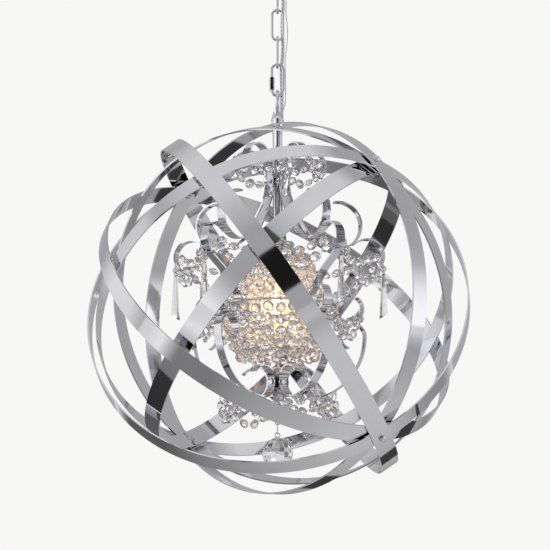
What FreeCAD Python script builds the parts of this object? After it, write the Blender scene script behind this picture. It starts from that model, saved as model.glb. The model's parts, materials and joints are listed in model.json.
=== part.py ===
import FreeCAD, Part
import math
import os

os.makedirs("parts", exist_ok=True)

Vector = FreeCAD.Vector
up = Vector(0, 0, 1)

# Orb chandelier, in millimetres. Heights are measured from the centre of the orb while a piece is
# made, and save() lowers everything so that the ceiling is at zero. X is to the right as one
# faces it, Y is away from the viewer. "Out" is the distance from the stem's axis.

# fits
seat_gap = 0.3            # between a piece and the seat it rests on
turning_fit = 0.05        # between a shaft and the hole it turns in
still_fit = 0.1           # between a fastener and a hole it only passes

# hoops of the orb, from flat bar
orb_radius = 254.0        # outside of the largest hoop
hoop_width = 25.0
hoop_thickness = 2.0
washer_thickness = 1.0
washer_radius = 5.0
hoop_plane_azimuth = -44.0
outer_hoop_swings = {"outer_hoop_large": 126.6, "outer_hoop_middle": 45.2, "outer_hoop_small": 83.6}
inner_hoop_swings = {"inner_hoop_large": 72.9, "inner_hoop_middle": 26.2, "inner_hoop_small": 111.4}
hoop_step = hoop_thickness + washer_thickness + 2 * seat_gap

# pivot screws that the hoops fold about
pivot_radius = 2.5
pivot_head_radius = 4.6
pivot_head_height = 2.4
pivot_dome_height = 2.6
crown_flat = 0.6          # radius of the flat in the middle of a domed end
pivot_nut_height = 3.6
pivot_nut_inradius = 4.0
pivot_tail = 0.8

# hanging loops, one on the canopy and one on the stem
loop_outer_diameter = 33.0
loop_wire_radius = 2.6
bell_radius = 8.5
bell_rim_height = 2.0
bell_neck_radius = 6.2
bell_height = 12.0
bell_sink = 3.0           # how far the ring dips into its bell
bell_bore_depth = 5.0

# hollow threaded nipples
nipple_radius = 5.0
nipple_bore_radius = 4.0
nipple_reach = 3.5        # into a bell
nipple_tail = 12.0        # into the stem tube
hex_nut_height = 4.0
hex_nut_inradius = 7.5

# chain
chain_link_count = 3
link_length = 44.5
link_width = 18.0
link_wire_radius = 1.7
quick_link_length = 46.0
quick_link_width = 19.0
quick_link_wire_radius = 1.9
quick_link_gap = 8.0
sleeve_length = 17.0
sleeve_inradius = 3.1
sleeve_travel = 9.5

# supply cord and bare earth wire
cord_radius = 2.2
earth_wire_radius = 0.7
cord_hole_out = 5.6
cord_hole_radius = 2.7
earth_hole_place = (5.2, 4.2)
earth_hole_radius = 0.95
cord_end_above_bell = 4.3

# ceiling canopy
canopy_radius = 63.5
canopy_depth = 28.0
canopy_wall = 1.2
canopy_skirt = 4.0
canopy_flat_radius = 14.0
strap_length = 106.0
strap_width = 19.0
strap_thickness = 2.0
strap_screw_spacing = 88.9
strap_screw_radius = 2.25

# stem
stem_radius = 6.35
stem_bore_radius = 5.1
hoop_spacer_radius = 8.0
hoop_spacer_height = 5.5
stem_nut_radius = 6.6
stem_nut_height = 9.7

# scroll arms, bent from flat bar and welded
arm_count = 5
arm_azimuth = 15.0
bar_width = 12.0
bar_thickness = 2.0
weld_bite = 0.4
upper_scroll_start = (65.0, 190.0)
tip_curl_radius = 22.0
tip_curl_turn = 150
waist_bend_radius = 70.0
upper_scroll_bends = [(tip_curl_radius, tip_curl_turn), (waist_bend_radius, 58), (25, 0), (55, 62), (31, 190)]
hub_curl_radius = 20.5
hub_curl_centre = (32.0, -98.5)
hub_curl_start = 34
lower_tip_radius = 17.0
middle_curl_radius = 18.0
middle_curl_start = 58
middle_curl_inset = 4.0
outer_arch_radius = 22.5
lower_scroll_bends = [(hub_curl_radius, 236), (3, 0), (84, 90), (lower_tip_radius, 250)]
middle_scroll_bends = [(middle_curl_radius, -282), (23, 0), (70, -14), (24.3, 0), (outer_arch_radius, 168),
                       (38, 20)]
outer_arch_centre = (123.0, 73.3)

# collar and hub that the arms are screwed to
collar_height = 8.0
hub_height = 38.0
hub_dome_height = 5.0
arm_screw_radius = 1.5
arm_screw_head_radius = 3.0
arm_screw_head_height = 1.6
arm_screw_depth = 5.0

# lamp
cup_top = 92.0
cup_height = 24.0
cup_radius = 21.0
cup_wall = 1.5
cup_collar_radius = 9.5
cup_collar_height = 6.0
cup_rib_count = 3
cup_rib_height = 1.2
plate_radius = 46.0
holder_ring_radius = 19.0
holder_ring_height = 4.0
plate_thickness = 1.5
socket_radius = 13.0
socket_length = 47.0
lamp_base_radius = 6.9
lamp_base_length = 24.0
bulb_radius = 17.5
bulb_length = 70.0

# crystals
bead_radius = 7.0
bead_table = 3.0          # half the length of a bead's flat
bead_half_thickness = 4.0
bead_pitch = 17.0
string_wire = 0.9
column_strand_count = 11
column_strand_beads = 6
column_out = 36.0
drape_count = 10
drape_offset = 18.0
drape_spots = [(47.0, 51.0), (55.5, 36.5), (65.0, 23.0)]
skirt_ring_wire_radius = 1.6
skirt_strand_count = 20
skirt_offset = 9.0
skirt_steps = [(3.1, 11.4), (8.6, 27.4), (17.1, 42.4), (20.9, 48.9)]     # inward and down from the ring
swags = [("top_swags", 65.0, 189.0, 16.0, 4), ("arm_garlands", 143.0, 70.0, 42.0, 9),
         ("curl_garlands", 114.0, 2.0, 45.0, 8), ("bottom_swags", 80.0, -113.0, 36.0, 6)]

# long prisms and the ball
prism_length = 60.0
prism_radius = 6.2
prism_shoulder_radius = 2.6
prism_side_count = 6
prism_foot = 8.0
prism_point = 6.0
eye_angle = -35.0         # where the prisms' eyes are on the outer arches
eye_radius = 3.2
eye_wire_radius = 0.9
small_ring_radius = 3.2
ring_wire_radius = 0.7
hub_eye_depth = 6.0
ball_radius = 20.0
ball_row_count = 8
ball_side_count = 12
ball_link_count = 3
ball_link_length = 15.0
ball_link_width = 6.5


# places that follow from the sizes, as heights above the centre of the orb
bend_step = tip_curl_radius - waist_bend_radius
waist_out = (upper_scroll_start[0] - tip_curl_radius + bend_step * math.cos(math.radians(tip_curl_turn))
             - waist_bend_radius)
waist_height = upper_scroll_start[1] + bend_step * math.sin(math.radians(tip_curl_turn))
collar_inradius = waist_out - bar_thickness / 2 - seat_gap
hub_inradius = hub_curl_centre[0] - hub_curl_radius - bar_thickness / 2 - seat_gap
hoop_radii = {}
for place, name in enumerate(list(outer_hoop_swings) + ["main_hoop"] + list(inner_hoop_swings)):
    hoop_radii[name] = orb_radius - hoop_thickness / 2 - place * hoop_step
main_radius = hoop_radii["main_hoop"]
spacer_bottom = main_radius + hoop_thickness / 2 + seat_gap
bell_bottom = spacer_bottom + hoop_spacer_height
stem_nut_top = main_radius - hoop_thickness / 2 - seat_gap
stem_top = stem_nut_top - stem_nut_height
loop_centre_above_bell = bell_height - bell_sink + loop_outer_diameter / 2
stem_loop_top = bell_bottom + loop_centre_above_bell + loop_outer_diameter / 2
quick_link_bottom = stem_loop_top - 2 * loop_wire_radius - seat_gap - 2 * quick_link_wire_radius
first_link_bottom = (quick_link_bottom + quick_link_length - 2 * quick_link_wire_radius
                     - seat_gap - 2 * link_wire_radius)
link_rise = link_length - 4 * link_wire_radius - seat_gap
chain_top = first_link_bottom + (chain_link_count - 1) * link_rise + link_length
canopy_loop_bottom = chain_top - 2 * link_wire_radius - seat_gap - 2 * loop_wire_radius
canopy_loop_centre = canopy_loop_bottom + loop_outer_diameter / 2
canopy_bell_top = canopy_loop_centre + loop_centre_above_bell
canopy_bottom = canopy_bell_top + seat_gap
ceiling = canopy_bottom + canopy_depth
cup_bottom = cup_top - cup_height
plate_top = cup_bottom - seat_gap
plate_bottom = plate_top - plate_thickness
socket_top = cup_top - cup_collar_height - 2 * cup_wall
socket_bottom = socket_top - socket_length
hub_top = hub_curl_centre[1] + hub_height / 2
hub_bottom = hub_curl_centre[1] - hub_height / 2


def save(name, solids):
    """Write one node, lowered so that the ceiling is at zero."""
    shape = Part.makeCompound(solids) if isinstance(solids, list) else solids.copy()
    shape.translate(Vector(0, 0, -ceiling))
    shape.exportStep("parts/" + name + ".step")
    for solid in shape.Solids:
        if not solid.isValid() or solid.Volume <= 0:
            print("bad solid in", name)
    box = shape.BoundBox
    print(f"{name}: {len(shape.Solids)} solids, z {box.ZMin:.1f} to {box.ZMax:.1f}")


def turned(shape, degrees, axis=up):
    """A copy turned about a line through the orb's centre."""
    copy = shape.copy()
    copy.rotate(Vector(0, 0, 0), axis, degrees)
    return copy


def around(shape, count, first=0.0):
    """Copies of a shape evenly about the stem."""
    return [turned(shape, first + number * 360.0 / count) for number in range(count)]


def axes(x_direction, z_direction):
    """A placement whose X and Z point along the two directions."""
    y_direction = z_direction.cross(x_direction)
    rotation = FreeCAD.Rotation(x_direction, y_direction, z_direction, "ZXY")
    return FreeCAD.Placement(Vector(0, 0, 0), rotation)


def spun(outline):
    """A solid of revolution about the stem, from (out, height) points and arcs' middle points."""
    edges = []
    for start, middle, end in outline:
        first, last = Vector(start[0], 0, start[1]), Vector(end[0], 0, end[1])
        if middle is None:
            edges.append(Part.LineSegment(first, last).toShape())
        else:
            edges.append(Part.Arc(first, Vector(middle[0], 0, middle[1]), last).toShape())
    return Part.Face(Part.Wire(edges)).revolve(Vector(0, 0, 0), up, 360)


def straight_outline(points):
    """The outline of straight lines through points, closed."""
    return [(a, None, b) for a, b in zip(points, points[1:] + points[:1])]


def tube(radius, bore, bottom, top):
    """A round tube on the stem's axis."""
    body = Part.makeCylinder(radius, top - bottom, Vector(0, 0, bottom))
    return body.cut(Part.makeCylinder(bore, top - bottom, Vector(0, 0, bottom)))


def prism_bar(sides, inradius, bottom, top, first=0.0):
    """An upright bar of regular section, with the middle of one flat at the first azimuth."""
    corner = inradius / math.cos(math.pi / sides)
    angles = [math.radians(first + (number + 0.5) * 360.0 / sides) for number in range(sides)]
    points = [Vector(corner * math.cos(a), corner * math.sin(a), bottom) for a in angles]
    return Part.Face(Part.makePolygon(points + points[:1])).extrude(up * (top - bottom))


def faceted(profile, sides):
    """A closed crystal with flat facets, from (radius, height) rows; radius 0 is a point."""
    rows = []
    for radius, height in profile:
        steps = sides if radius else 1
        rows.append([Vector(radius * math.cos(2 * math.pi * n / sides),
                            radius * math.sin(2 * math.pi * n / sides), height) for n in range(steps)])
    faces = []
    for low, high in zip(rows, rows[1:]):
        for n in range(sides):
            corners = [low[n % len(low)], low[(n + 1) % len(low)],
                       high[(n + 1) % len(high)], high[n % len(high)]]
            kept = [c for i, c in enumerate(corners) if not c.isEqual(corners[i - 1], 1e-6)]
            faces.append(Part.Face(Part.makePolygon(kept + kept[:1])))
    for row in (rows[0], rows[-1]):
        if len(row) > 1:
            faces.append(Part.Face(Part.makePolygon(row + row[:1])))
    solid = Part.Solid(Part.makeShell(faces))
    return solid if solid.Volume > 0 else solid.reversed()


def hoop(name, axis, swing):
    """A flat hoop turned about its pivot axis from the main hoop's plane, with its pivot holes."""
    radius = hoop_radii[name]
    body = tube(radius + hoop_thickness / 2, radius - hoop_thickness / 2,
                -hoop_width / 2, hoop_width / 2)
    reach = radius + hoop_thickness
    hole = Part.makeCylinder(pivot_radius + turning_fit, 2 * reach, Vector(-reach, 0, 0), Vector(1, 0, 0))
    body = body.cut(hole)
    normal = FreeCAD.Rotation(axis, swing).multVec(main_normal)
    body.Placement = axes(axis, normal)
    return body


def main_hoop():
    """The upright hoop that the stem, the screws and all the other hoops are fixed to."""
    body = tube(main_radius + hoop_thickness / 2, main_radius - hoop_thickness / 2,
                -hoop_width / 2, hoop_width / 2)
    body.Placement = axes(outer_pivot, main_normal)
    reach = main_radius + hoop_thickness
    for axis in (outer_pivot, inner_pivot):
        body = body.cut(Part.makeCylinder(pivot_radius + still_fit, 2 * reach, axis * -reach, axis))
    return body.cut(Part.makeCylinder(nipple_radius + still_fit, reach, Vector(0, 0, 0), up))


def pivot_screw(outside, inside):
    """A domed screw on +Z through a stack of hoops, from outside to inside radius."""
    under_head = outside + hoop_thickness / 2 + seat_gap
    tip = inside - hoop_thickness / 2 - seat_gap - pivot_nut_height - pivot_tail
    head_top = under_head + pivot_head_height
    crown = head_top + pivot_dome_height
    side = pivot_head_radius * 0.75
    outline = straight_outline([(0, crown), (0, tip), (pivot_radius, tip), (pivot_radius, under_head),
                                (pivot_head_radius, under_head), (pivot_head_radius, head_top),
                                (crown_flat, crown)])
    outline[5] = ((pivot_head_radius, head_top), (side, head_top + pivot_dome_height * 0.6),
                  (crown_flat, crown))
    return spun(outline)


def pivot_nut(inside):
    """The nut inside the last hoop of a stack."""
    top = inside - hoop_thickness / 2 - seat_gap
    bottom = top - pivot_nut_height
    bore = Part.makeCylinder(pivot_radius + turning_fit, pivot_nut_height, Vector(0, 0, bottom))
    return prism_bar(6, pivot_nut_inradius, bottom, top).cut(bore)


def pivot_washers(radii):
    """Flat washers between neighbouring hoops of a stack."""
    washers = []
    for radius in radii[:-1]:
        middle = radius - hoop_step / 2
        washers.append(tube(washer_radius, pivot_radius + still_fit,
                            middle - washer_thickness / 2, middle + washer_thickness / 2))
    return washers


def pivots():
    """Screws, nuts and washers at the four pivots of the orb."""
    outer_stack = [hoop_radii[name] for name in list(outer_hoop_swings) + ["main_hoop"]]
    inner_stack = [hoop_radii[name] for name in ["main_hoop"] + list(inner_hoop_swings)]
    screws, nuts, washers = [], [], []
    for axis, radii in ((outer_pivot, outer_stack), (inner_pivot, inner_stack)):
        for pole in (axis, axis * -1):
            place = axes(main_normal, pole)
            for group, shapes in ((screws, [pivot_screw(radii[0], radii[-1])]),
                                  (nuts, [pivot_nut(radii[-1])]), (washers, pivot_washers(radii))):
                for shape in shapes:
                    shape.Placement = place
                    group.append(shape)
    return screws, nuts, washers


def oval(length, width, wire_radius):
    """A chain link in the XZ plane, standing on the centre, with straight sides and round ends."""
    out = width / 2 - wire_radius
    low, high = wire_radius + out, length - wire_radius - out
    sides = [Part.LineSegment(Vector(out, 0, low), Vector(out, 0, high)),
             Part.Arc(Vector(out, 0, high), Vector(0, 0, high + out), Vector(-out, 0, high)),
             Part.LineSegment(Vector(-out, 0, high), Vector(-out, 0, low)),
             Part.Arc(Vector(-out, 0, low), Vector(0, 0, low - out), Vector(out, 0, low))]
    path = Part.Wire([side.toShape() for side in sides])
    section = Part.Wire(Part.Circle(Vector(out, 0, low), up, wire_radius).toShape())
    return path.makePipeShell([section], True, False)


def chain_links():
    """Links one above the other, every second one turned a quarter."""
    for number in range(chain_link_count):
        link = oval(link_length, link_width, link_wire_radius)
        link = turned(link, 90 if number % 2 == 0 else 0)
        link.translate(up * (first_link_bottom + number * link_rise))
        save(f"chain_link_{chain_link_count - number}", link)


def quick_link():
    """The link that opens, and the sleeve that screws over its gap."""
    link = oval(quick_link_length, quick_link_width, quick_link_wire_radius)
    out = quick_link_width / 2 - quick_link_wire_radius
    sleeve_bottom = quick_link_wire_radius + out
    gap_bottom = sleeve_bottom + (sleeve_length - quick_link_gap) / 2 - sleeve_travel / 4
    gap = Part.makeBox(4 * quick_link_wire_radius, 4 * quick_link_wire_radius, quick_link_gap,
                       Vector(-out - 2 * quick_link_wire_radius, -2 * quick_link_wire_radius, gap_bottom))
    link = link.cut(gap)
    sleeve = prism_bar(6, sleeve_inradius, sleeve_bottom, sleeve_bottom + sleeve_length, 90)
    bore = Part.makeCylinder(quick_link_wire_radius + turning_fit, sleeve_length,
                             Vector(0, 0, sleeve_bottom))
    sleeve = sleeve.cut(bore)
    sleeve.translate(Vector(-out, 0, 0))
    for shape in (link, sleeve):
        shape.translate(up * quick_link_bottom)
    save("quick_link", link)
    save("quick_link_sleeve", sleeve)


def hanging_loop():
    """A cast ring in the YZ plane on a bell with a screw bore, a cord hole and an earth hole.

    The bell stands on the centre. The ring is above it.
    """
    middle = (bell_radius - 1.6, bell_height * 0.55)
    outline = straight_outline([(0, 0), (bell_radius, 0), (bell_radius, bell_rim_height),
                                (bell_neck_radius, bell_height), (0, bell_height)])
    outline[2] = ((bell_radius, bell_rim_height), middle, (bell_neck_radius, bell_height))
    ring = Part.makeTorus(loop_outer_diameter / 2 - loop_wire_radius, loop_wire_radius,
                          Vector(0, 0, 0), Vector(1, 0, 0))
    ring.translate(up * loop_centre_above_bell)
    body = spun(outline).fuse(ring)
    bore = Part.makeCylinder(nipple_radius + turning_fit, bell_bore_depth, Vector(0, 0, 0))
    cord_hole = Part.makeCylinder(cord_hole_radius, bell_height, Vector(cord_hole_out, 0, nipple_reach + 0.5))
    earth_x, earth_y = earth_hole_place
    earth_hole = Part.makeCylinder(earth_hole_radius, bell_height, Vector(earth_x, earth_y, nipple_reach + 0.5))
    return body.cut(Part.makeCompound([bore])).cut(cord_hole).cut(earth_hole)


def loops():
    """The loop on the stem, and the same loop upside down under the canopy, a quarter round."""
    stem_loop = hanging_loop()
    stem_loop.translate(up * bell_bottom)
    save("stem_loop", stem_loop)
    canopy_loop = turned(turned(hanging_loop(), 180, Vector(1, 0, 0)), 90)
    canopy_loop.translate(up * canopy_bell_top)
    save("canopy_loop", canopy_loop)


def cord_tube(name, points, radius):
    """A round cord along straight runs joined by arcs as large as the runs allow."""
    points = [Vector(*point) for point in points]
    edges, start, length, tightest = [], points[0], 0.0, None
    for before, corner, after in zip(points, points[1:], points[2:]):
        back, ahead = before - corner, after - corner
        reach = 0.45 * min(back.Length, ahead.Length)
        turn = math.pi - back.getAngle(ahead)
        bend = reach / math.tan(turn / 2)
        tightest = bend if tightest is None else min(tightest, bend)
        back.normalize()
        ahead.normalize()
        into, out_of = corner + back * reach, corner + ahead * reach
        inward = back + ahead
        inward.normalize()
        middle = corner + inward * (bend / math.cos(turn / 2) - bend)
        edges.append(Part.LineSegment(start, into).toShape())
        edges.append(Part.Arc(into, middle, out_of).toShape())
        length += (into - start).Length + bend * turn
        start = out_of
    edges.append(Part.LineSegment(start, points[-1]).toShape())
    length += (points[-1] - start).Length
    section = Part.Wire(Part.Circle(points[0], points[1] - points[0], radius).toShape())
    solid = Part.Wire(edges).makePipeShell([section], True, False)
    share = solid.Volume / (math.pi * radius ** 2 * length)
    print(f"{name}: length {length:.1f}, tightest radius {tightest:.1f}, volume share {share:.4f}")
    save(name, solid)


def cords():
    """The supply cord and the earth wire, from the stem's bell up beside the chain to the canopy."""
    low, high = bell_bottom + cord_end_above_bell, canopy_bell_top - cord_end_above_bell
    cord_tube("power_cord", [
        (5.6, 0.0, low), (5.6, 0.7, low + 16), (6.0, 4.8, low + 33), (5.3, 6.1, low + 51),
        (4.9, 5.3, low + 69), (6.9, 2.2, low + 86), (7.3, 5.0, low + 103), (6.2, 5.8, low + 121),
        (6.5, 5.1, low + 139), (7.9, 3.0, low + 157), (6.6, 5.0, low + 175), (3.2, 6.2, low + 190),
        (0.3, 5.6, low + 203), (0.0, 5.6, high)], cord_radius)
    earth_x, earth_y = earth_hole_place
    cord_tube("earth_wire", [
        (earth_x, earth_y, low), (earth_x + 0.6, earth_y, low + 8), (10.4, 3.1, low + 20),
        (11.0, 3.6, low + 34), (10.7, 3.0, low + 50), (10.3, 2.2, low + 66), (9.8, 1.4, low + 80),
        (12.2, 0.6, low + 95), (13.4, 1.2, low + 112), (13.1, 1.6, low + 128), (11.0, 0.6, low + 142),
        (12.0, 1.4, low + 158), (10.6, 4.4, low + 174), (7.4, 7.6, low + 189),
        (earth_y + 0.5, earth_x + 0.3, low + 205), (earth_y, earth_x, high)], earth_wire_radius)


def canopy():
    """The canopy cover, the strap that holds it to the ceiling, and the nipple with its nuts."""
    wall = canopy_wall
    flat, rim = canopy_flat_radius, canopy_radius
    depth, skirt = canopy_depth, canopy_skirt
    bulge = (0.74 * rim, -0.66 * depth)
    hole = nipple_radius + still_fit
    outline = [((rim, 0), None, (rim, -skirt)),
               ((rim, -skirt), bulge, (flat, -depth)),
               ((flat, -depth), None, (hole, -depth)),
               ((hole, -depth), None, (hole, wall - depth)),
               ((hole, wall - depth), None, (flat, wall - depth)),
               ((flat, wall - depth), (bulge[0] - wall / 2, bulge[1] + wall), (rim - wall, -skirt)),
               ((rim - wall, -skirt), None, (rim - wall, 0)),
               ((rim - wall, 0), None, (rim, 0))]
    cover = spun(outline)
    straight = strap_length - strap_width
    strap = Part.makeBox(straight, strap_width, strap_thickness,
                         Vector(-straight / 2, -strap_width / 2, -strap_thickness))
    for side in (-1, 1):
        strap = strap.fuse(Part.makeCylinder(strap_width / 2, strap_thickness,
                                             Vector(side * straight / 2, 0, -strap_thickness)))
    strap = strap.removeSplitter()
    holes = [(0, nipple_radius + still_fit)]
    holes += [(side * strap_screw_spacing / 2, strap_screw_radius) for side in (-1, 1)]
    for x, radius in holes:
        strap = strap.cut(Part.makeCylinder(radius, strap_thickness, Vector(x, 0, -strap_thickness)))
    nipple = tube(nipple_radius, nipple_bore_radius, -depth - seat_gap - nipple_reach, 0)
    nuts = []
    for top in (-strap_thickness - seat_gap, wall - depth + seat_gap + hex_nut_height):
        nut = prism_bar(6, hex_nut_inradius, top - hex_nut_height, top)
        nuts.append(nut.cut(Part.makeCylinder(nipple_radius + turning_fit, hex_nut_height,
                                              Vector(0, 0, top - hex_nut_height))))
    for name, shapes in (("canopy_cover", [cover]), ("mounting_strap", [strap]),
                         ("canopy_nipple", [nipple]), ("nipple_nuts", nuts)):
        for shape in shapes:
            shape.translate(up * ceiling)
        save(name, shapes if len(shapes) > 1 else shapes[0])


def stem():
    """The stem tube and what clamps it to the top of the main hoop."""
    hole = nipple_radius + turning_fit
    save("hoop_spacer", tube(hoop_spacer_radius, hole, spacer_bottom, bell_bottom - seat_gap / 3))
    save("stem_nut", tube(stem_nut_radius, hole, stem_top + seat_gap / 3, stem_nut_top))
    save("stem_nipple", tube(nipple_radius, nipple_bore_radius, stem_top - nipple_tail,
                             bell_bottom + nipple_reach))
    save("stem_tube", tube(stem_radius, stem_bore_radius, cup_top - cup_collar_height, stem_top))
    save("stem_lead", Part.makeCylinder(cord_radius, bell_bottom + nipple_reach - socket_top - 2 * seat_gap,
                                        Vector(0, 0, socket_top + seat_gap)))


def bar_face(start, heading, bends):
    """The edge view of a bent flat bar in the XZ plane, as (radius, turn) bends and (length, 0) runs."""
    half = bar_thickness / 2
    x, z = start
    angle = math.radians(heading)
    left, right = [], []

    def beside(px, pz, direction, distance):
        return Vector(px - distance * math.sin(direction), 0, pz + distance * math.cos(direction))

    first = (beside(x, z, angle, half), beside(x, z, angle, -half))
    for radius, turn in bends:
        old = (x, z, angle)
        if turn == 0:
            x, z = x + radius * math.cos(angle), z + radius * math.sin(angle)
            left.append(Part.LineSegment(beside(*old, half), beside(x, z, angle, half)))
            right.append(Part.LineSegment(beside(*old, -half), beside(x, z, angle, -half)))
            continue
        side = 1 if turn > 0 else -1
        centre = beside(x, z, angle, side * radius)
        spots = []
        for share in (0.5, 1.0):
            ahead = angle + math.radians(turn) * share
            point = beside(centre.x, centre.z, ahead, -side * radius)
            spots.append((point.x, point.z, ahead))
        (mid_x, mid_z, mid_angle), (x, z, angle) = spots
        for group, distance in ((left, half), (right, -half)):
            group.append(Part.Arc(beside(*old, distance), beside(mid_x, mid_z, mid_angle, distance),
                                  beside(x, z, angle, distance)))
    last = (beside(x, z, angle, half), beside(x, z, angle, -half))
    edges = [side.toShape() for side in left] + [Part.LineSegment(*last).toShape()]
    edges += [side.toShape() for side in reversed(right)] + [Part.LineSegment(first[1], first[0]).toShape()]
    return Part.Face(Part.Wire(edges)), (x, z)


def curl_centre(end, heading, radius, side):
    """The centre of a bend that ends at a point, on its left (1) or right (-1)."""
    angle = math.radians(heading)
    return (end[0] - side * radius * math.sin(angle), end[1] + side * radius * math.cos(angle))


def lower_scroll():
    """The edge view of the lower scroll, and the centre of the curl at its tip."""
    start_angle = math.radians(hub_curl_start)
    start = (hub_curl_centre[0] + hub_curl_radius * math.cos(start_angle),
             hub_curl_centre[1] + hub_curl_radius * math.sin(start_angle))
    face, end = bar_face(start, hub_curl_start + 90, lower_scroll_bends)
    heading = hub_curl_start + 90 + sum(turn for radius, turn in lower_scroll_bends)
    return face, curl_centre(end, heading, lower_tip_radius, 1)


def middle_curl_centre():
    """The centre of the middle scroll's curl, which is welded on the tip of the lower scroll."""
    tip = lower_scroll()[1]
    apart = lower_tip_radius + middle_curl_radius + bar_thickness - weld_bite
    return tip[0] - middle_curl_inset, tip[1] + math.sqrt(apart ** 2 - middle_curl_inset ** 2)


def arm_faces():
    """The three scrolls of an arm, as faces that bite into each other where they are welded."""
    upper = bar_face(upper_scroll_start, 90, upper_scroll_bends)[0]
    curl = middle_curl_centre()
    start_angle = math.radians(middle_curl_start)
    start = (curl[0] + middle_curl_radius * math.cos(start_angle),
             curl[1] + middle_curl_radius * math.sin(start_angle))
    middle, end = bar_face(start, middle_curl_start - 90, middle_scroll_bends)
    print("middle curl", curl, "end of the outer arch", end)
    return upper, middle, lower_scroll()[0]


def scroll_arm():
    """One arm in the XZ plane, with holes for its two screws and its prism's eye."""
    solids = [face.extrude(Vector(0, bar_width, 0)) for face in arm_faces()]
    body = solids[0].fuse(solids[1:]).removeSplitter()
    body.translate(Vector(0, -bar_width / 2, 0))
    for height in (waist_height, hub_curl_centre[1]):
        body = body.cut(Part.makeCylinder(arm_screw_radius + still_fit, 2 * waist_out,
                                          Vector(0, 0, height), Vector(1, 0, 0)))
    start, direction = eye_line()
    return body.cut(Part.makeCylinder(eye_wire_radius + still_fit, 2 * bar_thickness,
                                      start - direction * bar_thickness, direction))


def eye_line():
    """Where a prism's eye passes the outer arch's centre-line, and the way it points."""
    direction = Vector(math.cos(math.radians(eye_angle)), 0, math.sin(math.radians(eye_angle)))
    return Vector(outer_arch_centre[0], 0, outer_arch_centre[1]) + direction * outer_arch_radius, direction


def arm_fixings():
    """The collar, the hub and the screws that hold the arms to them."""
    collar = prism_bar(arm_count, collar_inradius, waist_height - collar_height / 2,
                       waist_height + collar_height / 2, arm_azimuth)
    collar = collar.cut(Part.makeCylinder(stem_radius + still_fit, collar_height,
                                          Vector(0, 0, waist_height - collar_height / 2)))
    hub = prism_bar(arm_count, hub_inradius, hub_bottom, hub_top, arm_azimuth)
    foot_middle = (hub_inradius * 0.75, hub_bottom - hub_dome_height * 0.6)
    foot_bottom = hub_bottom - hub_dome_height
    foot = straight_outline([(0, hub_bottom), (0, foot_bottom), (eye_wire_radius, foot_bottom),
                             (hub_inradius, hub_bottom)])
    foot[2] = ((eye_wire_radius, foot_bottom), foot_middle, (hub_inradius, hub_bottom))
    hub = hub.fuse(spun(foot)).removeSplitter()
    hub = hub.cut(Part.makeCylinder(eye_wire_radius + turning_fit, hub_eye_depth,
                                    Vector(0, 0, hub_bottom - hub_dome_height)))
    screws = []
    for height, seat, bend in ((waist_height, collar_inradius, 0.0),
                               (hub_curl_centre[1], hub_inradius, hub_curl_radius - bar_thickness / 2)):
        blind = Part.makeCylinder(arm_screw_radius + turning_fit, arm_screw_depth + seat_gap,
                                  Vector(seat - arm_screw_depth, 0, height), Vector(1, 0, 0))
        sag = bend - math.sqrt(bend ** 2 - arm_screw_head_radius ** 2) if bend else 0.0
        head = seat + seat_gap + bar_thickness + seat_gap + sag
        start = seat - arm_screw_depth + seat_gap
        screw = Part.makeCylinder(arm_screw_radius, head - start, Vector(start, 0, height), Vector(1, 0, 0))
        screw = screw.fuse(Part.makeCylinder(arm_screw_head_radius, arm_screw_head_height,
                                             Vector(head, 0, height), Vector(1, 0, 0))).removeSplitter()
        screws += around(screw, arm_count, arm_azimuth)
        for hole in around(blind, arm_count, arm_azimuth):
            collar, hub = (collar.cut(hole), hub) if height == waist_height else (collar, hub.cut(hole))
    save("arm_collar", collar)
    save("bottom_hub", hub)
    save("arm_screws", screws)


def lamp():
    """The cup at the foot of the stem, the crystal plate, the lamp holder and the bulb."""
    shoulder = cup_top - cup_collar_height
    hole = stem_radius + still_fit
    inside = cup_radius - cup_wall
    points = [(hole, shoulder - cup_wall), (hole, cup_top), (cup_collar_radius, cup_top),
              (cup_collar_radius, shoulder), (cup_radius, shoulder)]
    outer_side = []
    rib_pitch = (cup_height - cup_collar_height) / cup_rib_count
    for number in range(cup_rib_count):
        top = shoulder - number * rib_pitch
        outer_side.append(((cup_radius, top), (cup_radius + cup_rib_height, top - rib_pitch / 2),
                           (cup_radius, top - rib_pitch)))
    outline = [(a, None, b) for a, b in zip(points, points[1:])] + outer_side
    tail = [(cup_radius, cup_bottom), (inside, cup_bottom), (inside, shoulder - cup_wall), points[0]]
    outline += [(a, None, b) for a, b in zip(tail, tail[1:])]
    save("lamp_cup", spun(outline))
    save("crystal_plate", tube(plate_radius, socket_radius + still_fit, plate_bottom, plate_top))
    holder = Part.makeCylinder(socket_radius, socket_length, Vector(0, 0, socket_bottom))
    holder = holder.cut(Part.makeCylinder(lamp_base_radius + turning_fit, lamp_base_length + seat_gap,
                                          Vector(0, 0, socket_bottom)))
    save("lamp_holder", holder)
    save("holder_ring", tube(holder_ring_radius, socket_radius + turning_fit,
                             plate_bottom - seat_gap - holder_ring_height, plate_bottom - seat_gap))
    glass_top = socket_bottom - seat_gap
    glass = [((0, glass_top), None, (lamp_base_radius + 1, glass_top)),
             ((lamp_base_radius + 1, glass_top), (bulb_radius, glass_top - bulb_length * 0.4),
              (bulb_radius * 0.72, glass_top - bulb_length * 0.84)),
             ((bulb_radius * 0.72, glass_top - bulb_length * 0.84),
              (bulb_radius * 0.42, glass_top - bulb_length * 0.96), (crown_flat, glass_top - bulb_length)),
             ((crown_flat, glass_top - bulb_length), None, (0, glass_top - bulb_length)),
             ((0, glass_top - bulb_length), None, (0, glass_top))]
    base = Part.makeCylinder(lamp_base_radius, lamp_base_length + seat_gap, Vector(0, 0, glass_top))
    save("bulb", spun(glass).fuse(base).removeSplitter())


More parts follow.
